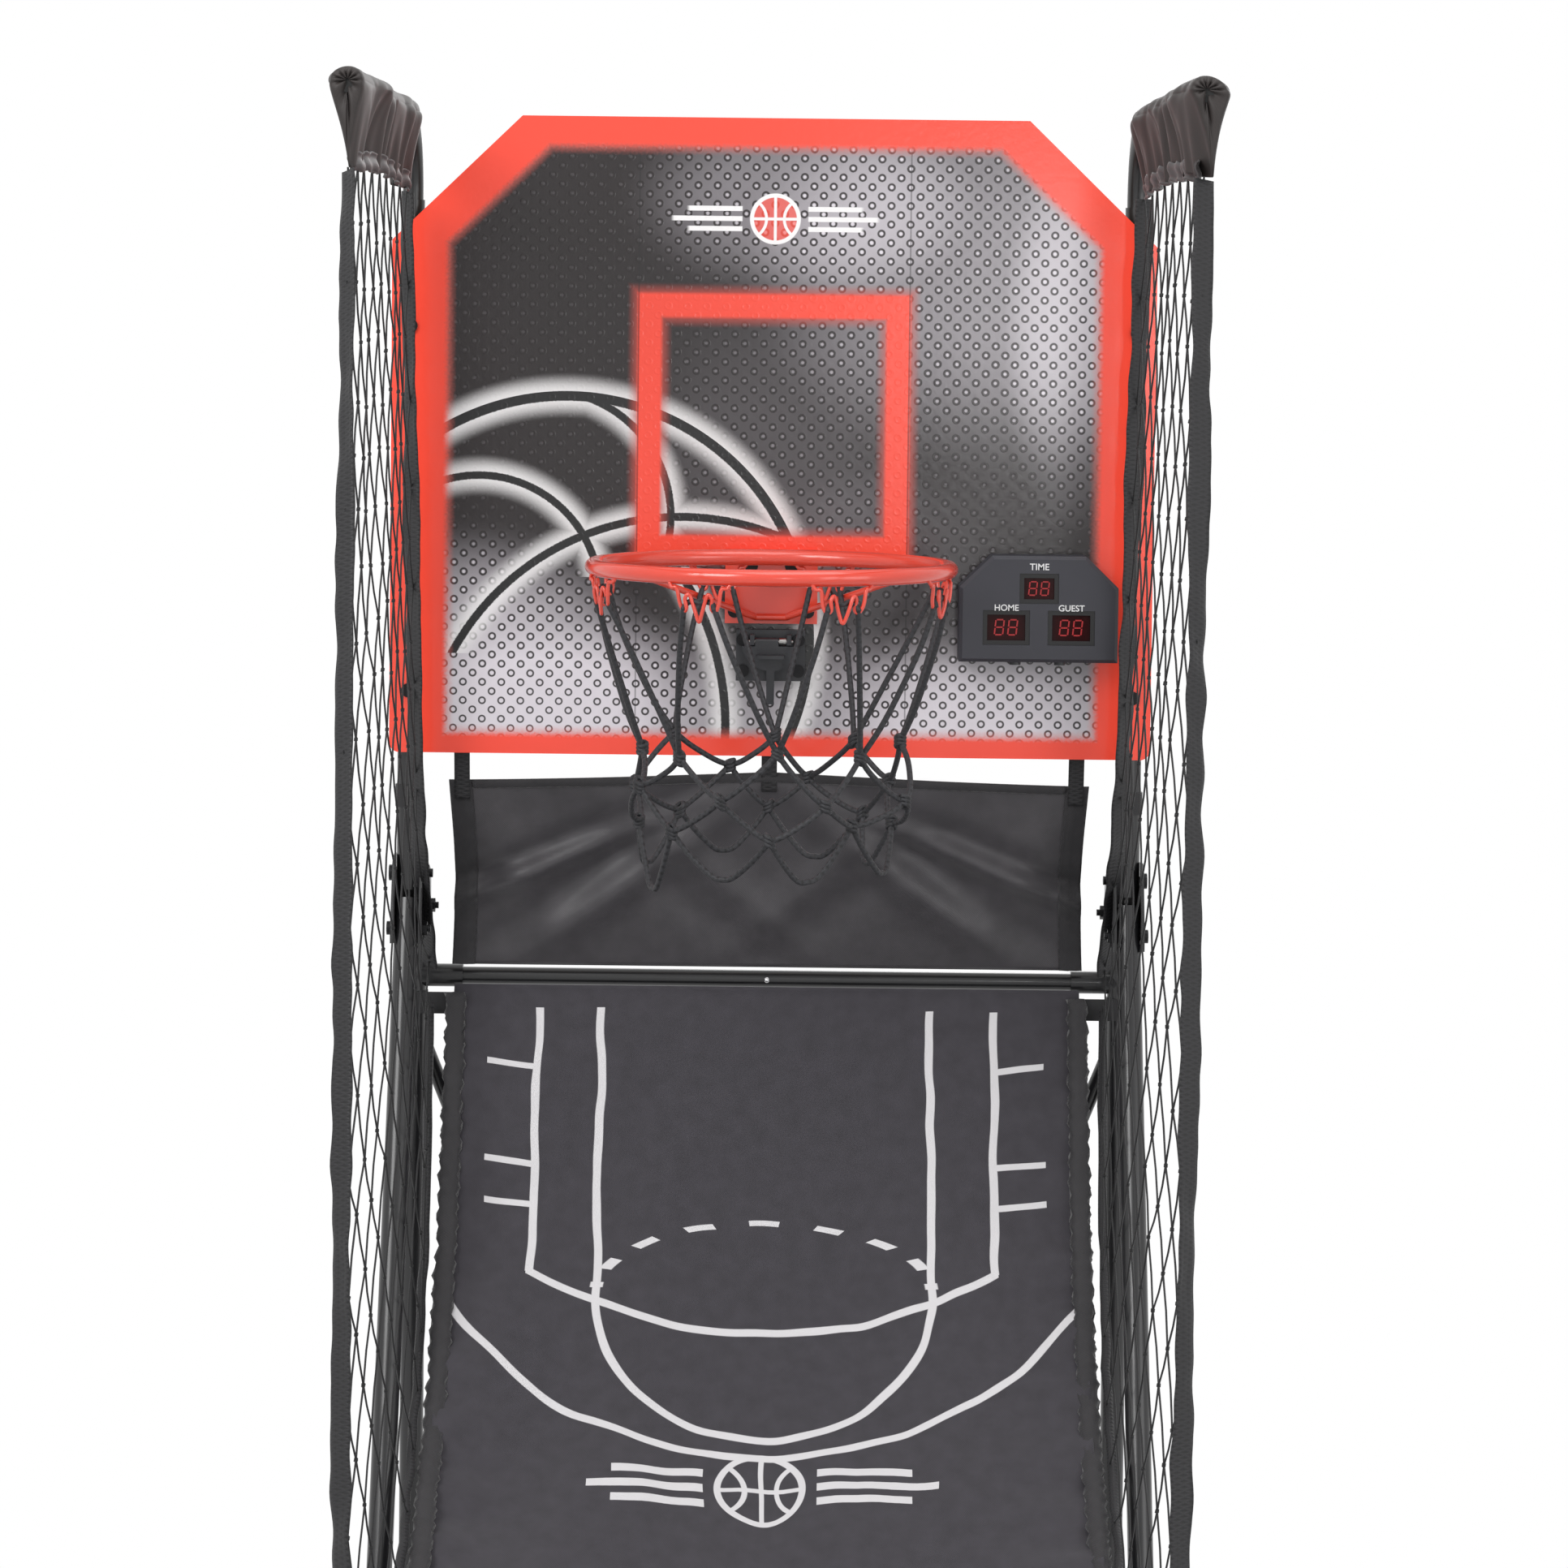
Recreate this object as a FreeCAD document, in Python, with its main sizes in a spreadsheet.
import FreeCAD, Part
import math
import os
import re
import Sketcher
from FreeCAD import Placement, Rotation, Vector

# Indoor basketball hoop machine: a steel-tube stand with a fabric ball-return ramp, and above a
# pair of folding hinges the hoop frame with the board, the hoop, the score sensor and the score
# box.  Millimetres, +Z up, the player stands at -Y, origin on the floor under the middle.

SIZES = {
    # stand
    "half_span": 326, "runner_length": 1100, "runner_od": 25, "tube_wall": 1.2,
    "cap_width": 34, "cap_length": 46, "cap_lip": 4,
    "leg_od": 22, "fit_gap": 0.3, "stub_length": 60,
    "rear_leg_y": 440, "front_foot_y": -215, "leg_joint_z": 784,
    "crossbar_z": 1247, "crossbar_od": 16, "socket_od": 21, "socket_length": 34,
    "crossbar_seam_x": -22, "brace_od": 14, "brace_top_z": 1195, "brace_low_x": 150, "floor_tube_od": 22,
    "front_bar_y": -496, "front_bar_z": 620, "front_bar_od": 19, "front_post_od": 19,
    # hinge
    "hinge_z": 1351, "hinge_plate": 2.5, "hinge_bolt_r": 4, "hinge_play": 0.05,
    "post_tail": 14, "leg_gap": 26, "bracket_back": 13,
    # board
    "board_front_y": 350, "board_width": 686, "board_height": 573, "board_bottom_z": 1463,
    "board_thickness": 9.5, "board_top_width": 454, "corner_cut_z": 112, "board_radius": 9,
    "board_bolt_top_z": 1847, "board_bolt_low_z": 1519, "screw_r": 3, "head_r": 6.3, "head_h": 3,
    # hoop frame
    "arm_od": 19, "arm_z": 2034, "arm_bend": 70, "arm_reach": 570, "arm_insert_z": 1900,
    "post_top_z": 1960,
    # hoop
    "ring_z": 1645, "ring_reach": 200, "ring_od": 318, "ring_tube": 14,
    "plate_width": 83, "plate_height": 67, "plate_bottom_z": 1583, "plate_thickness": 3,
    "shelf_width": 60, "brace_rod": 6, "brace_x": 122, "hook_wire": 3.4, "hook_drop": 26,
    "bracket_bolt_up": 36, "bracket_bolt_down": 66,
    # sensor
    "sensor_width": 62, "sensor_height": 46, "sensor_bottom_z": 1532, "sensor_depth": 12,
    "paddle_pivot_z": 1568, "paddle_pivot_out": 22, "paddle_radius": 26, "pin_r": 1.5,
    # score box
    "score_x": 239, "score_bottom_z": 1553, "score_width": 142, "score_height": 95,
    "score_depth": 34, "score_cut_x": 29, "score_cut_z": 28, "score_wall": 2.5, "case_bevel": 3,
    "time_width": 27, "time_height": 19, "points_width": 34, "points_height": 23,
    # fabric
    "cloth": 1.6, "ramp_half": 292, "backstop_half": 290, "backstop_top_z": 1430,
    "net_cord": 4, "twine": 1.6, "sleeve_low_z": 1962,
}

doc = FreeCAD.newDocument("hoop_machine")
sheet = doc.addObject("Spreadsheet::Sheet", "Sizes")
for row, (alias, number) in enumerate(SIZES.items(), start=1):
    sheet.set(f"A{row}", alias)
    sheet.set(f"B{row}", str(number))
    sheet.setAlias(f"B{row}", alias)
doc.recompute()

PARTS = []


def size(alias):
    """The number that the sheet holds under this alias."""
    return float(sheet.get(alias))


def bound(expression):
    """An expression text with each alias turned into a reference to the sheet."""
    return re.sub(r"[a-z_]+", lambda found: "Sizes." + found.group()
                  if found.group() in SIZES else found.group(), str(expression))


def keep(name, thing):
    """Registers an object as the sub-part of this name."""
    thing.Label = name
    PARTS.append(thing)
    return thing


def place(thing, x="0", y="0", z="0", turn=None):
    """Puts an object at a place given in sheet expressions, with an optional rotation."""
    if turn is not None:
        thing.Placement = Placement(Vector(0, 0, 0), turn)
    for letter, expression in zip("xyz", (x, y, z)):
        thing.setExpression(f"Placement.Base.{letter}", bound(expression))
    return thing


ALONG_X = Rotation(Vector(0, 1, 0), 90)
ALONG_Y = Rotation(Vector(1, 0, 0), -90)
TO_FRONT = Rotation(Vector(1, 0, 0), 90)
ALONG_Z = Rotation()


def rod(name, radius, length, x="0", y="0", z="0", turn=ALONG_Z):
    """A solid cylinder from a start point along a turned Z axis."""
    thing = doc.addObject("Part::Cylinder", name)
    thing.setExpression("Radius", bound(radius))
    thing.setExpression("Height", bound(length))
    return place(thing, x, y, z, turn)


def block(name, length, width, height, x="0", y="0", z="0"):
    """A box from its lowest corner."""
    thing = doc.addObject("Part::Box", name)
    thing.setExpression("Length", bound(length))
    thing.setExpression("Width", bound(width))
    thing.setExpression("Height", bound(height))
    return place(thing, x, y, z)


def fuse(name, *things):
    """One solid of several."""
    thing = doc.addObject("Part::MultiFuse", name)
    thing.Shapes = list(things)
    thing.Refine = True
    return thing


def cut(name, base, *tools):
    """A base less every tool."""
    tool = tools[0] if len(tools) == 1 else fuse(name + "_tools", *tools)
    thing = doc.addObject("Part::Cut", name)
    thing.Base = base
    thing.Tool = tool
    return thing


def group(name, things):
    """Separate solids that share one node."""
    thing = doc.addObject("Part::Compound", name)
    thing.Links = list(things)
    return thing


def pipe(name, outer, wall, length, x="0", y="0", z="0", turn=ALONG_Z):
    """A straight tube."""
    skin = rod(name + "_outer", f"( {outer} ) / 2", length, x, y, z, turn)
    core = rod(name + "_bore", f"( {outer} ) / 2 - {wall}", length, x, y, z, turn)
    return cut(name, skin, core)


def origin_plane(body, role):
    """The body's own origin plane of this role."""
    for feature in body.Origin.OriginFeatures:
        if feature.Role == role:
            return feature


def outline(body, name, role, points):
    """A closed polygon sketch whose corners are bound to the sheet."""
    sketch = body.newObject("Sketcher::SketchObject", name)
    sketch.AttachmentSupport = [(origin_plane(body, role), "")]
    sketch.MapMode = "FlatFace"
    count = len(points)
    turns = [2 * math.pi * index / count for index in range(count)]
    corners = [Vector(100 * math.cos(turn), 100 * math.sin(turn), 0) for turn in turns]
    for index in range(count):
        line = Part.LineSegment(corners[index], corners[(index + 1) % count])
        sketch.addGeometry(line, False)
    for index in range(count):
        joined = Sketcher.Constraint("Coincident", index, 2, (index + 1) % count, 1)
        sketch.addConstraint(joined)
    for index, (across, up) in enumerate(points):
        for kind, start, expression in (
            ("DistanceX", corners[index].x, across),
            ("DistanceY", corners[index].y, up),
        ):
            number = sketch.addConstraint(Sketcher.Constraint(kind, -1, 1, index, 1, start))
            sketch.setExpression(f"Constraints[{number}]", bound(expression))
    return sketch


def slab(name, role, points, depth, reverse=False):
    """A PartDesign body padded from a polygon."""
    body = doc.addObject("PartDesign::Body", name)
    sketch = outline(body, name + "_outline", role, points)
    pad = body.newObject("PartDesign::Pad", name + "_pad")
    pad.Profile = sketch
    pad.setExpression("Length", bound(depth))
    pad.Reversed = reverse
    body.Tip = pad
    return body


# ---------------------------------------------------------------- stand

SIDES = (("left", "-1"), ("right", "1"))


def span(side):
    """The X of a side's tubes."""
    return f"{side} * half_span"


def front_leg_angle():
    """The front leg's lean from vertical, in degrees."""
    rise = size("hinge_z") - size("cap_width") / 2
    run = post_y() - size("front_foot_y")
    return math.degrees(math.atan2(run, rise))


def post_y():
    """The Y of the posts behind the board."""
    return size("board_front_y") + size("board_thickness") + size("leg_od") / 2


POST_Y = "( board_front_y + board_thickness + leg_od / 2 )"
RUNNER_Z = "cap_width / 2"
STUB_OD = "leg_od - 2 * tube_wall - 2 * fit_gap"


def runner(name, side):
    """A floor tube with the three stubs that the legs and the front post slip over."""
    lean = Rotation(Vector(1, 0, 0), -front_leg_angle())
    tube = rod(name + "_tube", "runner_od / 2", "runner_length",
               span(side), "-runner_length / 2", RUNNER_Z, ALONG_Y)
    stubs = [
        rod(name + "_rear", f"( {STUB_OD} ) / 2", "runner_od / 2 + stub_length",
            span(side), "rear_leg_y", RUNNER_Z),
        rod(name + "_lean", f"( {STUB_OD} ) / 2", "runner_od / 2 + stub_length",
            span(side), "front_foot_y", RUNNER_Z, lean),
        rod(name + "_front", "( front_post_od - 2 * tube_wall - 2 * fit_gap ) / 2",
            "runner_od / 2 + stub_length", span(side), "front_bar_y", RUNNER_Z),
    ]
    body = fuse(name + "_body", tube, *stubs)
    hollow = rod(name + "_hollow", "runner_od / 2 - tube_wall", "runner_length",
                 span(side), "-runner_length / 2", RUNNER_Z, ALONG_Y)
    return keep(name, cut(name + "_cut", body, hollow))


def rear_leg(name, side):
    """The lower length with its reduced upper end, and the upper length with its socket."""
    low = f"{RUNNER_Z} + runner_od / 2 + fit_gap"
    lower_skin = rod(f"{name}_lower_skin", "leg_od / 2", f"leg_joint_z - ( {low} )",
                     span(side), "rear_leg_y", low)
    reduced = rod(f"{name}_reduced", f"( {STUB_OD} ) / 2", "stub_length + 1", span(side),
                  "rear_leg_y", "leg_joint_z - 1")
    bore_low = rod(f"{name}_bore_low", "leg_od / 2 - tube_wall", "stub_length + 20",
                   span(side), "rear_leg_y", low)
    bore_up = rod(f"{name}_bore_up", f"( {STUB_OD} ) / 2 - tube_wall", "leg_joint_z",
                  span(side), "rear_leg_y", f"{low} + stub_length + 20")
    pit = rod(f"{name}_button_pit", "3.3", "40", span(side), "rear_leg_y", "leg_joint_z + 18",
              TO_FRONT)
    lower = cut(f"{name}_lower_cut", fuse(f"{name}_lower_body", lower_skin, reduced),
                bore_low, bore_up, pit)
    keep(f"rear_leg_lower_{name}", lower)
    top = "hinge_z - 21"
    skin = rod(f"{name}_upper_skin", "leg_od / 2", f"{top} - leg_joint_z", span(side),
               "rear_leg_y", "leg_joint_z")
    core = rod(f"{name}_upper_core", "leg_od / 2 - tube_wall", f"{top} - leg_joint_z", span(side),
               "rear_leg_y", "leg_joint_z")
    start = "-half_span" if side == "-1" else "half_span - leg_od / 2 - socket_length"
    socket = rod(f"{name}_socket_skin", "socket_od / 2", "leg_od / 2 + socket_length", start,
                 "rear_leg_y", "crossbar_z", ALONG_X)
    seat = rod(f"{name}_socket_bore", "crossbar_od / 2 + hinge_play", "leg_od / 2 + socket_length",
               start, "rear_leg_y", "crossbar_z", ALONG_X)
    hole = rod(f"{name}_button_hole", "3.3", "40", span(side), "rear_leg_y",
               "leg_joint_z + 18", TO_FRONT)
    bolt_hole = rod(f"{name}_rear_bolt_hole", "screw_r + hinge_play", "40",
                    f"{span(side)} - 20", "rear_leg_y", "hinge_z - 39", ALONG_X)
    keep(f"rear_leg_upper_{name}", cut(f"{name}_upper_cut", fuse(f"{name}_upper_body", skin, socket),
                                       core, seat, hole, bolt_hole))


def front_leg(name, side):
    """The leaning leg from its runner stub to the hinge bracket."""
    angle = front_leg_angle()
    lean = Rotation(Vector(1, 0, 0), -angle)
    rise = size("hinge_z") - size("cap_width") / 2
    run = post_y() - size("front_foot_y")
    whole = math.hypot(rise, run)
    start = size("runner_od") / 2 + 6
    length = whole - size("leg_gap") - start
    skin = doc.addObject("Part::Cylinder", f"{name}_front_skin")
    core = doc.addObject("Part::Cylinder", f"{name}_front_core")
    spot = Vector(float(side) * size("half_span"), size("front_foot_y"), size("cap_width") / 2)
    spot = spot + lean.multVec(Vector(0, 0, start))
    for cylinder, radius in ((skin, "leg_od / 2"), (core, "leg_od / 2 - tube_wall")):
        cylinder.setExpression("Radius", bound(radius))
        cylinder.Height = length
        cylinder.Placement = Placement(spot, lean)
    hole = rod(f"{name}_front_bolt_hole", "screw_r + hinge_play", "40", f"{span(side)} - 20",
               "0", "0", ALONG_X)
    down = size("leg_gap") + 26
    hole.setExpression("Placement.Base.y", bound(f"{POST_Y} - {down * math.sin(math.radians(angle))}"))
    hole.setExpression("Placement.Base.z", bound(f"hinge_z - {down * math.cos(math.radians(angle))}"))
    keep(f"front_leg_{name}", cut(f"{name}_front_cut", skin, core, hole))


def hinge_bracket(name, side):
    """Two side plates and a web that join the legs' tops and carry the post's pivot bolt."""
    angle = math.radians(front_leg_angle())
    down = size("leg_gap") + 26
    leg_y = f"{POST_Y} - {down * math.sin(angle)}"
    leg_z = f"hinge_z - {down * math.cos(angle)}"
    points = (
        (f"{POST_Y} - 15", "hinge_z + 10"), (f"{POST_Y} - 8", "hinge_z + 17"),
        (f"{POST_Y} + 10", "hinge_z + 17"), ("rear_leg_y + bracket_back", "hinge_z - 8"),
        ("rear_leg_y + bracket_back", "hinge_z - 52"), (f"{leg_y} + 4", f"{leg_z} - 14"),
        (f"{leg_y} - 14", f"{leg_z} - 12"), (f"{leg_y} - 14", f"{leg_z} + 4"),
    )
    plates = []
    for index, offset in enumerate(("-leg_od / 2 - fit_gap - hinge_plate", "leg_od / 2 + fit_gap")):
        plate = slab(f"{name}_plate{index}", "YZ_Plane", points, "hinge_plate")
        plates.append(place(plate, f"{span(side)} + {offset}"))
    web = block(f"{name}_web", "leg_od + 2 * fit_gap + 1", "hinge_plate", "44",
                f"{span(side)} - leg_od / 2 - fit_gap - 0.5", f"{POST_Y} + 32", "hinge_z - 56 + 6")
    holes = [
        rod(f"{name}_pivot_hole", "hinge_bolt_r + hinge_play", "60", f"{span(side)} - 30",
            POST_Y, "hinge_z", ALONG_X),
        rod(f"{name}_rear_hole", "screw_r + hinge_play", "60", f"{span(side)} - 30",
            "rear_leg_y", "hinge_z - 39", ALONG_X),
        rod(f"{name}_leg_hole", "screw_r + hinge_play", "60", f"{span(side)} - 30",
            leg_y, leg_z, ALONG_X),
    ]
    keep(f"hinge_bracket_{name}", cut(f"{name}_bracket_cut", fuse(f"{name}_bracket", *plates, web),
                                      *holes))


def bolt(name, radius, head, head_height, length, x, y, z, turn):
    """A bolt with a domed head at its start point, its shank running along the turned axis."""
    shank = rod(name + "_shank", radius, length, x, y, z, turn)
    back = turn.multVec(Vector(0, 0, -1))
    cap = rod(name + "_head", head, head_height, f"{x} + {back.x} * {head_height}",
              f"{y} + {back.y} * {head_height}", f"{z} + {back.z} * {head_height}", turn)
    return fuse(name, shank, cap)


def nut(name, across, height, hole, x, y, z, turn):
    """A hexagon nut."""
    prism = doc.addObject("Part::Prism", name + "_hex")
    prism.Polygon = 6
    prism.setExpression("Circumradius", bound(across))
    prism.setExpression("Height", bound(height))
    place(prism, x, y, z, turn)
    return cut(name, prism, rod(name + "_bore", hole, height, x, y, z, turn))


def hinge_fasteners():
    """The pivot bolts and the bolts that hold the legs in the brackets, with their nuts."""
    angle = math.radians(front_leg_angle())
    down = size("leg_gap") + 26
    spots = (
        ("pivot", "hinge_bolt_r", POST_Y, "hinge_z"),
        ("rear", "screw_r", "rear_leg_y", "hinge_z - 39"),
        ("lean", "screw_r", f"{POST_Y} - {down * math.sin(angle)}",
         f"hinge_z - {down * math.cos(angle)}"),
    )
    outside = "( leg_od / 2 + fit_gap + hinge_plate )"
    bolts = []
    nuts = []
    for name, side in SIDES:
        inward = ALONG_X if side == "-1" else Rotation(Vector(0, 1, 0), -90)
        for spot, radius, y, z in spots:
            bolts.append(bolt(f"{name}_{spot}_bolt", radius, f"{radius} + 3.2", "4",
                              f"2 * {outside} + 8", f"{side} * ( half_span + {outside} )", y, z,
                              inward))
            nuts.append(nut(f"{name}_{spot}_nut", f"{radius} + 3.4", "5",
                            f"{radius} + hinge_play", f"{side} * ( half_span - {outside} )", y, z,
                            inward))
    keep("hinge_bolts", group("hinge_bolts_set", bolts))
    keep("hinge_nuts", group("hinge_nuts_set", nuts))


def end_caps():
    """Rubber blocks that close the runners' ends and stand on the floor."""
    caps = []
    for name, side in SIDES:
        for end, sign in (("front", "-1"), ("rear", "1")):
            corner_y = "-runner_length / 2 - cap_lip" if sign == "-1" else (
                "runner_length / 2 + cap_lip - cap_length")
            case = block(f"{name}_{end}_cap", "cap_width", "cap_length", "cap_width",
                         f"{span(side)} - cap_width / 2", corner_y)
            rounded = doc.addObject("Part::Fillet", f"{name}_{end}_cap_round")
            rounded.Base = case
            rounded.Edges = [(number, 5.0, 5.0) for number in (2, 4, 6, 8)]
            socket_y = "-runner_length / 2" if sign == "-1" else "runner_length / 2 - cap_length"
            socket = rod(f"{name}_{end}_cap_socket", "runner_od / 2 + hinge_play", "cap_length",
                         span(side), socket_y, RUNNER_Z, ALONG_Y)
            caps.append(cut(f"{name}_{end}_cap_cut", rounded, socket))
    keep("runner_end_caps", group("end_cap_set", caps))


for side_name, side_sign in SIDES:
    runner(f"floor_runner_{side_name}", side_sign)
    rear_leg(side_name, side_sign)
    front_leg(side_name, side_sign)
    hinge_bracket(side_name, side_sign)
hinge_fasteners()
end_caps()


def strut(name, radius, start, end, hollow=0):
    """A straight round bar between two points, hollow when a bore radius is given."""
    run = end - start
    turn = Rotation(Vector(0, 0, 1), run)
    bars = []
    for suffix, thick in (("_skin", radius), ("_core", hollow)):
        if not thick:
            continue
        bar = doc.addObject("Part::Cylinder", name + suffix)
        bar.setExpression("Radius", bound(thick))
        bar.Height = run.Length
        bar.Placement = Placement(start, turn)
        bars.append(bar)
    return cut(name, *bars) if hollow else bars[0]


def wire_bar(name, radius, points):
    """A round wire through several points, fused from straight runs with round corners."""
    runs = [strut(f"{name}_run{index}", radius, points[index], points[index + 1])
            for index in range(len(points) - 1)]
    corners = []
    for index, point in enumerate(points[1:-1]):
        ball = doc.addObject("Part::Sphere", f"{name}_corner{index}")
        ball.setExpression("Radius", bound(radius))
        ball.Placement = Placement(point, Rotation())
        corners.append(ball)
    return fuse(name, *runs, *corners)


def floor_tube(name, y):
    """A tube between the runners, its ends saddled round them."""
    tube = pipe(name + "_tube", "floor_tube_od", "tube_wall", "2 * half_span", "-half_span", y,
                RUNNER_Z, ALONG_X)
    saddles = [
        rod(f"{name}_saddle{side}", "runner_od / 2 + hinge_play", "runner_length", span(sign),
            "-runner_length / 2", RUNNER_Z, ALONG_Y)
        for side, sign in SIDES
    ]
    return cut(name, tube, *saddles)


REAR_TUBE_Y = "( rear_leg_y + leg_od / 2 + brace_od )"


def diagonal_brace(name, side, step):
    """A tube behind the rear legs, from one leg's top down to the rear floor tube."""
    y = size("rear_leg_y") + size("leg_od") / 2 + size("brace_od") * (0.5 + step)
    top = Vector(float(side) * size("half_span"), y, size("brace_top_z"))
    low = Vector(-float(side) * size("brace_low_x"), y, size("cap_width") / 2)
    tube = strut(f"{name}_brace_tube", "brace_od / 2", low, top, "brace_od / 2 - tube_wall")
    saddle = rod(f"{name}_brace_saddle", "floor_tube_od / 2 + hinge_play", "2 * half_span",
                 "-half_span", REAR_TUBE_Y, RUNNER_Z, ALONG_X)
    flat = block(f"{name}_brace_foot", "2 * half_span", "60", "cap_width / 2 + 2", "-half_span",
                 "rear_leg_y", "0")
    return cut(f"{name}_brace_cut", tube, saddle, flat)


def crossbar():
    """The bar behind the ramp's top edge: two halves that slip together."""
    reach = "( half_span - leg_od / 2 - 1 )"
    insert = "crossbar_od / 2 - tube_wall - fit_gap"
    pit = rod("crossbar_pit", "2.8", "20", "0", "rear_leg_y", "crossbar_z", TO_FRONT)
    left_skin = rod("crossbar_left_skin", "crossbar_od / 2", f"{reach} + crossbar_seam_x",
                    f"-{reach}", "rear_leg_y", "crossbar_z", ALONG_X)
    left_insert = rod("crossbar_left_insert", insert, "70", "crossbar_seam_x - 1", "rear_leg_y",
                      "crossbar_z", ALONG_X)
    left_bore = rod("crossbar_left_bore", f"{insert} - tube_wall", "2 * half_span", f"-{reach}",
                    "rear_leg_y", "crossbar_z", ALONG_X)
    keep("crossbar_left", cut("crossbar_left_cut", fuse("crossbar_left_body", left_skin, left_insert),
                              left_bore, pit))
    right = pipe("crossbar_right_pipe", "crossbar_od", "tube_wall", f"{reach} - crossbar_seam_x",
                 "crossbar_seam_x", "rear_leg_y", "crossbar_z", ALONG_X)
    hole = rod("crossbar_hole", "2.8", "20", "0", "rear_leg_y", "crossbar_z", TO_FRONT)
    keep("crossbar_right", cut("crossbar_right_cut", right, hole))


def snap_button(name, radius, x, y, z, seat, reach):
    """A round-nosed lock button that springs out of a tube's side towards the front."""
    pin = rod(name + "_pin", f"{radius} - 0.15", reach, x, f"{y} - {seat}", z, TO_FRONT)
    nose = doc.addObject("Part::Sphere", name + "_nose")
    nose.setExpression("Radius", bound(f"{radius} - 0.15"))
    place(nose, x, f"{y} - {seat} - {reach}", z)
    keep(name, fuse(name + "_body", pin, nose))


def front_end():
    """The bar that stretches the ramp's front edge, and its two posts."""
    bar = pipe("front_bar_pipe", "front_bar_od", "tube_wall", "2 * half_span + 38",
               "-half_span - 19", "front_bar_y", "front_bar_z", ALONG_X)
    stub_od = "( front_post_od - 2 * tube_wall - 2 * fit_gap ) / 2"
    stubs = [rod(f"bar_stub_{name}", stub_od, "stub_length - 8", span(side), "front_bar_y",
                 "front_bar_z - stub_length") for name, side in SIDES]
    keep("front_bar", fuse("front_bar_body", bar, *stubs))
    posts = []
    for name, side in SIDES:
        low = f"{RUNNER_Z} + runner_od / 2 + fit_gap"
        post = pipe(f"front_post_{name}_pipe", "front_post_od", "tube_wall",
                    f"front_bar_z - 4 - ( {low} )", span(side), "front_bar_y", low)
        saddle = rod(f"front_post_{name}_saddle", "front_bar_od / 2 + hinge_play",
                     "2 * half_span + 60", "-half_span - 30", "front_bar_y", "front_bar_z", ALONG_X)
        posts.append(cut(f"front_post_{name}_cut", post, saddle))
    keep("front_posts", group("front_post_set", posts))


keep("floor_tubes", group("floor_tube_set", [
    floor_tube("rear_floor_tube", REAR_TUBE_Y),
    floor_tube("front_floor_tube", "-runner_length / 2 + 80")]))
keep("diagonal_braces", group("brace_set", [
    diagonal_brace("right", "1", 0), diagonal_brace("left", "-1", 1)]))
crossbar()
front_end()
snap_button("crossbar_snap_button", "2.8", "0", "rear_leg_y", "crossbar_z", "4.2", "4.3")
for side_name, side_sign in SIDES:
    snap_button(f"leg_snap_button_{side_name}", "3.3", span(side_sign), "rear_leg_y",
                "leg_joint_z + 18", "7.5", "4.2")


# ---------------------------------------------------------------- hoop frame

BOARD_BACK = "( board_front_y + board_thickness )"
SMALL_SCREWS = []


def post(name, side):
    """An upright behind the board, pivoted at its lower end."""
    low = "hinge_z - post_tail"
    tube = pipe(f"post_{name}_pipe", "leg_od", "tube_wall", f"post_top_z - ( {low} )", span(side),
                POST_Y, low)
    holes = [rod(f"post_{name}_pivot", "hinge_bolt_r + hinge_play", "40", f"{span(side)} - 20",
                 POST_Y, "hinge_z", ALONG_X)]
    for index, z in enumerate(("board_bolt_top_z", "board_bolt_low_z")):
        holes.append(rod(f"post_{name}_bolt{index}", "screw_r + fit_gap", "40", span(side),
                         f"{POST_Y} - 20", z, ALONG_Y))
    holes.append(rod(f"post_{name}_screw", "2.1", "20", span(side), POST_Y, "post_top_z - 25",
                     ALONG_Y))
    keep(f"post_{name}", cut(f"post_{name}_cut", tube, *holes))


def arm(name, side):
    """A tube that slips into its post, bends forward and carries the side net's sleeve."""
    x = float(side) * size("half_span")
    y = post_y()
    bend = size("arm_bend")
    top = size("arm_z")
    low_point = Vector(x, y, size("arm_insert_z"))
    bend_start = Vector(x, y, top - bend)
    bend_end = Vector(x, y - bend, top)
    middle = Vector(x, y - bend * (1 - math.cos(math.pi / 4)), top - bend * (1 - math.sin(math.pi / 4)))
    tip = Vector(x, size("board_front_y") - size("arm_reach"), top)
    path = doc.addObject("Part::Feature", f"arm_{name}_path")
    path.Shape = Part.Wire([
        Part.LineSegment(low_point, bend_start).toShape(),
        Part.Arc(bend_start, middle, bend_end).toShape(),
        Part.LineSegment(bend_end, tip).toShape(),
    ])
    sweeps = []
    for suffix, radius in (("skin", "arm_od / 2"), ("core", "arm_od / 2 - tube_wall")):
        circle = doc.addObject("Part::Circle", f"arm_{name}_{suffix}_circle")
        circle.setExpression("Radius", bound(radius))
        circle.Placement = Placement(low_point, Rotation())
        sweep = doc.addObject("Part::Sweep", f"arm_{name}_{suffix}")
        sweep.Sections = [circle]
        sweep.Spine = (path, ["Edge1", "Edge2", "Edge3"])
        sweep.Solid = True
        sweeps.append(sweep)
    hole = rod(f"arm_{name}_screw_hole", "1.7", "20", span(side), POST_Y, "post_top_z - 25", ALONG_Y)
    keep(f"arm_{name}", cut(f"arm_{name}_cut", *sweeps, hole))


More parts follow.
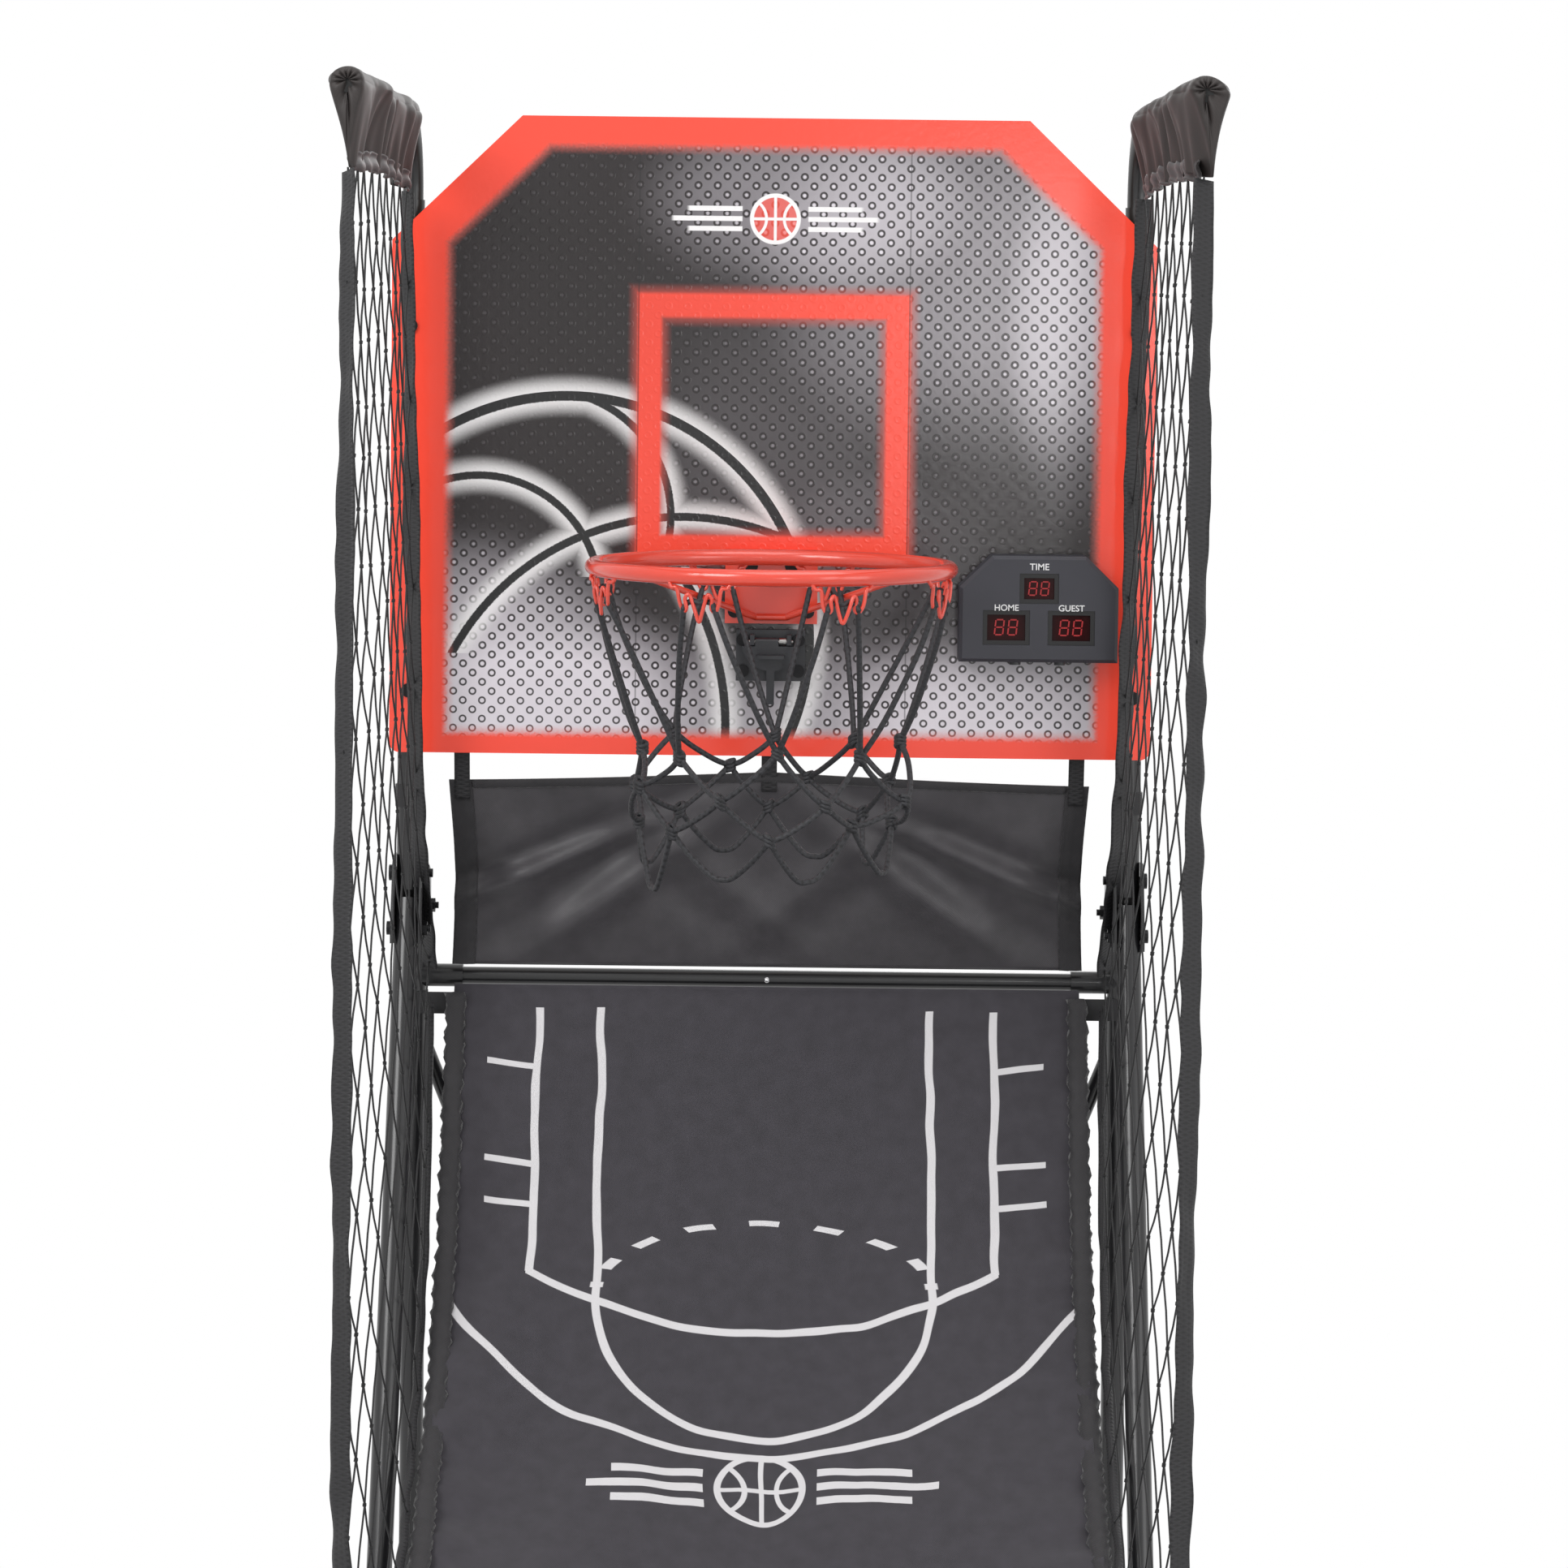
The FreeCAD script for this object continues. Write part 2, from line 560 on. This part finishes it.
def arm_small_parts():
    """The rubber plugs in the arms' ends and the screws that hold the arms in the posts."""
    plugs = []
    tip = "board_front_y - arm_reach"
    for name, side in SIDES:
        head = rod(f"plug_{name}_head", "arm_od / 2", "4", span(side), tip, "arm_z", TO_FRONT)
        stem = rod(f"plug_{name}_stem", "arm_od / 2 - tube_wall - hinge_play", "15", span(side), tip,
                   "arm_z", ALONG_Y)
        plugs.append(fuse(f"plug_{name}", head, stem))
        SMALL_SCREWS.append(bolt(f"arm_screw_{name}", "1.6", "3.6", "2", "6", span(side),
                                 f"{POST_Y} + leg_od / 2", "post_top_z - 25", TO_FRONT))
    keep("arm_end_plugs", group("arm_plug_set", plugs))


BRACKET_SPOTS = tuple((f"{side} * bracket_bolt_up / 2", "plate_bottom_z + 52") for side in (-1, 1)) + (
    tuple((f"{side} * bracket_bolt_down / 2", "plate_bottom_z + 11") for side in (-1, 1)))
SENSOR_SPOTS = tuple((f"{side} * 25", f"sensor_bottom_z + {up}") for side in (-1, 1)
                     for up in (9, 37))
BOARD_SPOTS = tuple((f"{side} * half_span", z) for side in (-1, 1)
                    for z in ("board_bolt_top_z", "board_bolt_low_z"))
CASE_SPOTS = tuple((f"score_x + {side} * 50", "score_bottom_z + 20") for side in (-1, 1))


def backboard():
    """The printed board with cut top corners and rounded lower corners."""
    half = "board_width / 2"
    top = "board_bottom_z + board_height"
    body = slab("board_blank", "XZ_Plane", (
        (f"-{half}", "board_bottom_z"), (half, "board_bottom_z"), (half, f"{top} - corner_cut_z"),
        ("board_top_width / 2", top), ("-board_top_width / 2", top),
        (f"-{half}", f"{top} - corner_cut_z")), "board_thickness")
    place(body, "0", BOARD_BACK)
    doc.recompute()
    low = size("board_bottom_z")
    chosen = [number for number, edge in enumerate(body.Shape.Edges, start=1)
              if edge.BoundBox.ZLength < 0.01 and edge.BoundBox.XLength < 0.01
              and abs(edge.BoundBox.ZMin - low) < 0.01]
    rounded = doc.addObject("Part::Fillet", "board_rounded")
    rounded.Base = body
    rounded.Edges = [(number, size("board_radius"), size("board_radius")) for number in chosen]
    holes = []
    for index, (x, z) in enumerate(BOARD_SPOTS + BRACKET_SPOTS + SENSOR_SPOTS + CASE_SPOTS):
        holes.append(rod(f"board_hole{index}", "screw_r + fit_gap", "40", x, "board_front_y - 20", z,
                         ALONG_Y))
    keep("backboard", cut("board_cut", rounded, *holes))


def board_fasteners():
    """Bolts that hold the board on the posts and the hoop on the board; the sensor's screws."""
    head = "head_h"
    bolts = [bolt(f"board_bolt{index}", "screw_r", "head_r", head,
                  "board_thickness + leg_od + 8", x, "board_front_y", z, ALONG_Y)
             for index, (x, z) in enumerate(BOARD_SPOTS)]
    nuts = [nut(f"board_nut{index}", "6.2", "5", "screw_r + hinge_play", x,
                f"{POST_Y} + leg_od / 2", z, ALONG_Y) for index, (x, z) in enumerate(BOARD_SPOTS)]
    face = "board_front_y - plate_thickness"
    bolts += [bolt(f"hoop_bolt{index}", "screw_r", "head_r - 0.4", head,
                  "board_thickness + plate_thickness + 8", x, face, z, ALONG_Y)
             for index, (x, z) in enumerate(BRACKET_SPOTS)]
    nuts += [nut(f"hoop_nut{index}", "6.2", "5", "screw_r + hinge_play", x, BOARD_BACK, z, ALONG_Y)
            for index, (x, z) in enumerate(BRACKET_SPOTS)]
    keep("board_bolts", group("board_bolt_set", bolts))
    keep("board_nuts", group("board_nut_set", nuts))
    SMALL_SCREWS.extend(bolt(f"sensor_screw{index}", "screw_r - 1", "head_r - 0.6", "2.6",
                   "sensor_depth + board_thickness - 4", x, "board_front_y - sensor_depth", z, ALONG_Y)
              for index, (x, z) in enumerate(SENSOR_SPOTS))


for side_name, side_sign in SIDES:
    post(side_name, side_sign)
    arm(side_name, side_sign)
arm_small_parts()
backboard()
board_fasteners()


# ---------------------------------------------------------------- hoop

HOOK_ANGLES = (20, 72, 108, 160, 202.5, 247.5, 292.5, 337.5)


def hoop():
    """The bracket plate with its shelf, the ring, the bent-rod brace and the net hooks."""
    bar = "( ring_od / 2 - ring_tube / 2 )"
    centre_y = "board_front_y - ring_reach"
    ring = doc.addObject("Part::Torus", "hoop_ring_bar")
    ring.setExpression("Radius1", bound(bar))
    ring.setExpression("Radius2", bound("ring_tube / 2"))
    place(ring, "0", centre_y, "ring_z")
    keep("hoop_ring", ring)
    clear = doc.addObject("Part::Torus", "hoop_ring_clear")
    clear.setExpression("Radius1", bound(bar))
    clear.setExpression("Radius2", bound("ring_tube / 2 + hinge_play"))
    place(clear, "0", centre_y, "ring_z")
    plate = block("bracket_plate", "plate_width", "plate_thickness", "plate_height",
                  "-plate_width / 2", "board_front_y - plate_thickness", "plate_bottom_z")
    shelf = block("bracket_shelf", "shelf_width", "ring_reach - ring_od / 2 + 3", "plate_thickness",
                  "-shelf_width / 2", "board_front_y - ring_reach + ring_od / 2 - 3",
                  "ring_z - plate_thickness / 2")
    holes = [rod(f"bracket_hole{index}", "screw_r + fit_gap", "20", x, "board_front_y - 10", z,
                 ALONG_Y) for index, (x, z) in enumerate(BRACKET_SPOTS)]
    keep("hoop_bracket", cut("bracket_cut", fuse("bracket_body", plate, shelf), clear, *holes))
    ring_y = size("board_front_y") - size("ring_reach")
    mid_radius = (size("ring_od") - size("ring_tube")) / 2
    reach = size("brace_x")
    under = size("ring_z") - (size("ring_tube") + size("brace_rod")) / 2 - 0.3
    side_y = ring_y + math.sqrt(mid_radius ** 2 - reach ** 2)
    back_y = size("board_front_y") - size("plate_thickness") - size("brace_rod") / 2 - 0.1
    back_z = size("plate_bottom_z") + 6
    keep("hoop_brace", wire_bar("brace_wire", "brace_rod / 2", [
        Vector(-reach, side_y, under), Vector(-14, back_y, back_z), Vector(14, back_y, back_z),
        Vector(reach, side_y, under)]))
    drop = size("hook_drop")
    hooks = []
    for number, degrees in enumerate(HOOK_ANGLES):
        angle = math.radians(degrees)
        out = Vector(math.cos(angle), math.sin(angle), 0)
        along = Vector(-math.sin(angle), math.cos(angle), 0)
        centre = Vector(0, ring_y, size("ring_z") - size("ring_tube") / 2) + out * mid_radius
        shape = ((-23, 1.4), (-14, drop), (-5, drop * 0.45), (5, drop * 0.45), (14, drop), (23, 1.4))
        points = [centre + along * across - Vector(0, 0, down) for across, down in shape]
        hooks.append(wire_bar(f"hook{number}", "hook_wire / 2", points))
    keep("net_hooks", group("hook_set", hooks))


def basket_net():
    """The soft net as one open-ended shell of its outer shape, hung under the hooks."""
    top = "ring_z - ring_tube / 2 - hook_drop - hook_wire / 2 - fit_gap"
    levels = (("ring_od / 2 - ring_tube / 2", top), (108, "ring_z - 152"), (120, "ring_z - 187"),
              (109, "ring_z - 215"), (120, "ring_z - 270"))
    points = [(f"{radius}", z) for radius, z in levels]
    points += [(f"{radius} - net_cord", z) for radius, z in reversed(levels)]
    body = doc.addObject("PartDesign::Body", "net_shell")
    sketch = outline(body, "net_profile", "XZ_Plane", points)
    turned = body.newObject("PartDesign::Revolution", "net_turned")
    turned.Profile = sketch
    turned.ReferenceAxis = (sketch, ["V_Axis"])
    turned.Angle = 360
    body.Tip = turned
    place(body, "0", "board_front_y - ring_reach")
    keep("basket_net", body)


# ---------------------------------------------------------------- score sensor

def sensor():
    """A base on the board and a paddle that each falling ball pushes back."""
    front = "( board_front_y - sensor_depth )"
    pivot_y = "( board_front_y - paddle_pivot_out )"
    base = block("sensor_block", "sensor_width", "sensor_depth - 0.1", "sensor_height",
                 "-sensor_width / 2", front, "sensor_bottom_z")
    ears = [block(f"sensor_ear{index}", "4", "18", "9", f"{side} * 16.5 - 2", f"{front} - 16",
                  "paddle_pivot_z - 2.6") for index, side in enumerate((-1, 1))]
    holes = [rod(f"sensor_hole{index}", "screw_r - 1 + fit_gap", "40", x, "board_front_y - 20", z,
                 ALONG_Y) for index, (x, z) in enumerate(SENSOR_SPOTS)]
    pin_hole = rod("sensor_pin_hole", "pin_r", "60", "-30", pivot_y, "paddle_pivot_z", ALONG_X)
    keep("sensor_base", cut("sensor_cut", fuse("sensor_body", base, *ears), pin_hole, *holes))
    keep("paddle_pin", rod("paddle_pin_bar", "pin_r", "40", "-20", pivot_y, "paddle_pivot_z",
                           ALONG_X))
    barrel = rod("paddle_barrel", "3.6", "21", "-14", pivot_y, "paddle_pivot_z", ALONG_X)
    disc = rod("paddle_disc", "paddle_radius", "3", "0", f"{pivot_y} - 1.6", "paddle_pivot_z",
               TO_FRONT)
    upper = block("paddle_upper", "60", "20", "30", "-30", f"{pivot_y} - 10",
                  "paddle_pivot_z - 3.9")
    half = cut("paddle_half", disc, upper)
    web = block("paddle_web", "21", "3.2", "8", "-14", f"{pivot_y} - 4.6", "paddle_pivot_z - 7")
    flange = block("paddle_flange", "24", "17", "3", "-12", f"{pivot_y} - 20", "paddle_pivot_z - 14")
    lever = block("paddle_lever", "7", "3", "50", "-3.5", f"{pivot_y} - 4.6",
                  "paddle_pivot_z - 56")
    pin_room = rod("paddle_pin_room", "pin_r + hinge_play", "60", "-30", pivot_y,
                   "paddle_pivot_z", ALONG_X)
    keep("sensor_paddle", cut("paddle_cut", fuse("paddle_body", barrel, half, web, flange, lever),
                              pin_room))
    tube = pipe("paddle_spring_tube", "2 * pin_r + 4", "0.8", "6", "7.8", pivot_y,
                "paddle_pivot_z", ALONG_X)
    keep("paddle_spring", tube)


# ---------------------------------------------------------------- score box

CASE_FRONT_Y = "( board_front_y - score_depth )"
WINDOWS = (("time", 0, "score_bottom_z + 66", "time_width", "time_height"),
           ("home", -29, "score_bottom_z + 31", "points_width", "points_height"),
           ("guest", 29, "score_bottom_z + 31", "points_width", "points_height"))


def case_outline(inset):
    """The box's outline with cut top corners, inset from its outer faces."""
    left = f"score_x - score_width / 2 + {inset}"
    right = f"score_x + score_width / 2 - {inset}"
    low = f"score_bottom_z + {inset}"
    top = f"score_bottom_z + score_height - {inset}"
    return ((left, low), (right, low), (right, f"{top} - score_cut_z + {inset} * 0.4"),
            (f"{right} - score_cut_x + {inset} * 0.4", top),
            (f"{left} + score_cut_x - {inset} * 0.4", top),
            (left, f"{top} - score_cut_z + {inset} * 0.4"))


def score_box():
    """The housing halves, and inside them the board, displays, buzzer and batteries."""
    back_t = "3"
    front = slab("case_outer", "XZ_Plane", case_outline("0"), f"score_depth - {back_t} - 0.1")
    place(front, "0", f"board_front_y - {back_t} - 0.1")
    doc.recompute()
    face_y = size("board_front_y") - size("score_depth")
    rim = [number for number, edge in enumerate(front.Shape.Edges, start=1)
           if abs(edge.BoundBox.YMax - face_y) < 0.01]
    eased = doc.addObject("Part::Chamfer", "case_eased")
    eased.Base = front
    eased.Edges = [(number, size("case_bevel"), size("case_bevel")) for number in rim]
    inner = slab("case_inner", "XZ_Plane", case_outline("score_wall"),
                 f"score_depth - {back_t} - score_wall")
    place(inner, "0", f"board_front_y - {back_t}")
    holes = []
    for name, x, z, width, height in WINDOWS:
        holes.append(block(f"{name}_opening", f"{width} + 8", "20", f"{height} + 8",
                           f"score_x + {x} - {width} / 2 - 4", f"{CASE_FRONT_Y} - 10",
                           f"{z} - {height} / 2 - 4"))
    for index, x in enumerate((-20, 20)):
        holes.append(rod(f"button_hole{index}", "5.2", "20", f"score_x + {x}",
                         f"{CASE_FRONT_Y} + 13", "score_bottom_z - 5"))
    keep("score_case_front", cut("case_front_cut", eased, inner, *holes))
    back = slab("case_back_plate", "XZ_Plane", case_outline("0"), back_t)
    place(back, "0", "board_front_y - 0.1")
    posts = [rod(f"case_post{index}", "5", "14", x, "board_front_y - 2", z, TO_FRONT)
             for index, (x, z) in enumerate(CASE_SPOTS)]
    screw_holes = [rod(f"case_post_hole{index}", "1.6", "14", x, "board_front_y + 1", z, TO_FRONT)
                   for index, (x, z) in enumerate(CASE_SPOTS)]
    room = block("battery_room", "56", "20", "34", "score_x - 28", "board_front_y - 10",
                 "score_bottom_z + 42")
    keep("score_case_back", cut("case_back_cut", fuse("case_back_body", back, *posts),
                                *screw_holes, room))
    keep("battery_door", block("battery_door_plate", "55.4", "2.6", "33.4", "score_x - 27.7",
                               "board_front_y - 3", "score_bottom_z + 42.3"))
    SMALL_SCREWS.extend(bolt(f"case_screw{index}", "1.5", "4.2", "2.4", "board_thickness + 11", x,
                             BOARD_BACK, z, TO_FRONT) for index, (x, z) in enumerate(CASE_SPOTS))
    keep("small_screws", group("small_screw_set", SMALL_SCREWS))
    bezels = []
    modules = []
    lenses = []
    for name, x, z, width, height in WINDOWS:
        frame = block(f"{name}_frame", f"{width} + 7.8", "3.4", f"{height} + 7.8",
                      f"score_x + {x} - {width} / 2 - 3.9", f"{CASE_FRONT_Y} + 1",
                      f"{z} - {height} / 2 - 3.9")
        sight = block(f"{name}_sight", width, "20", height, f"score_x + {x} - {width} / 2",
                      f"{CASE_FRONT_Y} - 10", f"{z} - {height} / 2")
        bezels.append(cut(f"{name}_bezel", frame, sight))
        lenses.append(block(f"{name}_lens", f"{width} + 5", "1.5", f"{height} + 5",
                            f"score_x + {x} - {width} / 2 - 2.5", f"{CASE_FRONT_Y} + 4.5",
                            f"{z} - {height} / 2 - 2.5"))
        modules.append(block(f"{name}_module", f"{width} - 2", "6", f"{height} - 2",
                             f"score_x + {x} - {width} / 2 + 1", f"{CASE_FRONT_Y} + 6.1",
                             f"{z} - {height} / 2 + 1"))
    keep("window_bezels", group("bezel_set", bezels))
    keep("display_windows", group("lens_set", lenses))
    keep("display_modules", group("module_set", modules))
    keep("circuit_board", block("circuit_plate", "100", "1.6", "62", "score_x - 50",
                                f"{CASE_FRONT_Y} + 12.2", "score_bottom_z + 14"))
    keep("buzzer", rod("buzzer_can", "9", "4.6", "score_x + 43", f"{CASE_FRONT_Y} + 7.5",
                       "score_bottom_z + 62", ALONG_Y))
    cells = [rod(f"cell{index}", "7", "50", "score_x - 25", "board_front_y - 10.2",
                 f"score_bottom_z + {50 + 15 * index}", ALONG_X) for index in range(2)]
    keep("batteries", group("battery_set", cells))
    for name, x in (("power_button", -20), ("mode_button", 20)):
        cap = rod(f"{name}_cap", "5", "8", f"score_x + {x}", f"{CASE_FRONT_Y} + 13",
                  "score_bottom_z - 3")
        flange = rod(f"{name}_flange", "6.4", "1.4", f"score_x + {x}", f"{CASE_FRONT_Y} + 13",
                     "score_bottom_z + score_wall + 0.2")
        keep(name, fuse(f"{name}_body", cap, flange))


# ---------------------------------------------------------------- fabric

def sheet_strip(name, points, half_width, thickness, x="0"):
    """A bent sheet of even thickness, as wide as twice the half width."""
    spots = [Vector(size_or(y), size_or(z), 0) for y, z in points]
    normals = []
    for index in range(len(spots)):
        before = spots[max(index - 1, 0)]
        after = spots[min(index + 1, len(spots) - 1)]
        run = (after - before).normalize()
        normals.append(Vector(-run.y, run.x, 0))
    under = [(f"{y} + {normal.x} * {thickness}", f"{z} + {normal.y} * {thickness}")
             for (y, z), normal in zip(points, normals)]
    body = slab(name, "YZ_Plane", list(points) + under[::-1], f"2 * {half_width}")
    return place(body, f"{x} - {half_width}")


def size_or(expression):
    """The value of a sheet expression such as 'crossbar_z - 234', a size and a shift."""
    total = 0.0
    sign = 1
    for word in expression.split():
        if word in "+-":
            sign = 1 if word == "+" else -1
        else:
            total += sign * (size(word) if word in SIZES else float(word))
            sign = 1
    return total


RAMP = (("rear_leg_y - 12.4", "crossbar_z - 6"), ("rear_leg_y - 14.6", "crossbar_z - 12"),
        ("rear_leg_y - 60", "crossbar_z - 126"),
        ("rear_leg_y - 120", "crossbar_z - 234"), ("rear_leg_y - 225", "crossbar_z - 342"),
        ("rear_leg_y - 370", "crossbar_z - 430"), ("front_bar_y + 320", "front_bar_z + 80"),
        ("front_bar_y + 160", "front_bar_z + 38"), ("front_bar_y - 4", "front_bar_z + 12.5"))


def fabrics():
    """The ramp, the backstop and its straps, the side nets, the sleeves and the tie straps."""
    keep("ramp_fabric", sheet_strip("ramp_sheet", RAMP, "ramp_half", "cloth"))
    backstop = ((f"{size('board_front_y') + 22}", "backstop_top_z"),
                (f"{size('board_front_y') + 50}", "backstop_top_z - 80"),
                ("rear_leg_y - 9", "crossbar_z + 12"))
    keep("backstop_fabric", sheet_strip("backstop_sheet", backstop, "backstop_half", "cloth"))
    straps = []
    for index, x in enumerate(("-backstop_half + 12", "0", "backstop_half - 12")):
        line = ((f"{size('board_front_y') + 10.2}", "board_bottom_z + 25"),
                (f"{size('board_front_y') + 12}", "board_bottom_z"),
                (f"{size('board_front_y') + 22}", "backstop_top_z + 0.3"))
        straps.append(sheet_strip(f"hang_strap{index}", line, "7", "1.2", x))
    keep("backstop_straps", group("hang_strap_set", straps))
    for name, side in SIDES:
        low = "sleeve_low_z"
        body = slab(f"sleeve_{name}_skin", "XZ_Plane", (
            ("-2", low), ("2", low), ("11.6", "arm_z - 4"), ("11.6", "arm_z + 5"),
            ("6", "arm_z + 11.4"), ("-6", "arm_z + 11.4"), ("-11.6", "arm_z + 5"),
            ("-11.6", "arm_z - 4")), "arm_reach - 85")
        place(body, span(side), "board_front_y - 85")
        bore = rod(f"sleeve_{name}_bore", "arm_od / 2 + fit_gap", "arm_reach", span(side),
                   "board_front_y - arm_reach", "arm_z", ALONG_Y)
        keep(f"arm_sleeve_{name}", cut(f"sleeve_{name}_cut", body, bore))
        lean = math.degrees(math.atan2(float(side) * 29, 1340))
        edge = (("board_front_y - 45", f"{low} - 0.4"), ("board_front_y - 45", "backstop_top_z - 10"),
                ("board_front_y - 32", "crossbar_z - 47"), ("rear_leg_y - 126", "crossbar_z - 231"),
                ("rear_leg_y - 230", "crossbar_z - 338"),
                ("rear_leg_y - 372", "crossbar_z - 425"), ("front_bar_y + 320", "front_bar_z + 85"),
                ("front_bar_y + 160", "front_bar_z + 43"), ("front_bar_y + 14", "front_bar_z + 19"),
                ("front_bar_y + 60", "front_bar_z + 360"), ("board_front_y - arm_reach + 2", f"{low} - 0.4"))
        net = slab(f"net_{name}_sheet", "YZ_Plane", edge, "twine")
        hang = Vector(float(side) * size("half_span"), 0, size(low))
        turn = Rotation(Vector(0, 1, 0), lean)
        net.Placement = Placement(hang - turn.multVec(Vector(size("twine") / 2, 0, size(low))), turn)
        keep(f"side_net_{name}", net)
    ties = []
    wraps = []
    for name, side in SIDES:
        for kind, y, z, target, reach in (
                ("tie", "rear_leg_y", "crossbar_z - 34", ties, "half_span - leg_od / 2 - ramp_half + 12"),
                ("wrap", POST_Y, "backstop_top_z - 18", wraps, "26")):
            collar = pipe(f"{kind}_{name}_ring", "leg_od + 3.4", "1.4", "20", span(side), y, z)
            inner = "leg_od / 2 - 9"
            start = (f"half_span - ( {inner} ) - ( {reach} )" if side == "1"
                     else f"-half_span + {inner}")
            if kind == "tie":
                tail = block(f"{kind}_{name}_tail", reach, "1.4", "20", start, f"{y} - leg_od / 2 - 1.4", z)
            else:
                tail = block(f"{kind}_{name}_tail", "1.4", reach, "20", f"{span(side)} - 0.7",
                             f"{y} - leg_od / 2 - 1 - {reach}", z)
            target.append(fuse(f"{kind}_{name}", collar, tail))
    keep("ramp_ties", group("tie_set", ties))
    keep("post_straps", group("wrap_set", wraps))


hoop()
basket_net()
sensor()
score_box()
fabrics()


# ---------------------------------------------------------------- check and write

doc.recompute()
faults = [thing.Name for thing in doc.Objects
          if "Invalid" in thing.State or "Error" in thing.State]
for thing in PARTS:
    if thing.Shape.isNull() or not thing.Shape.isValid() or not thing.Shape.Solids:
        faults.append(thing.Label)
if faults:
    raise RuntimeError("these objects failed: " + ", ".join(faults))
os.makedirs("parts", exist_ok=True)
for thing in PARTS:
    thing.Shape.exportStep(f"parts/{thing.Label}.step")
    print(thing.Label, len(thing.Shape.Solids), round(thing.Shape.Volume / 1000, 2))
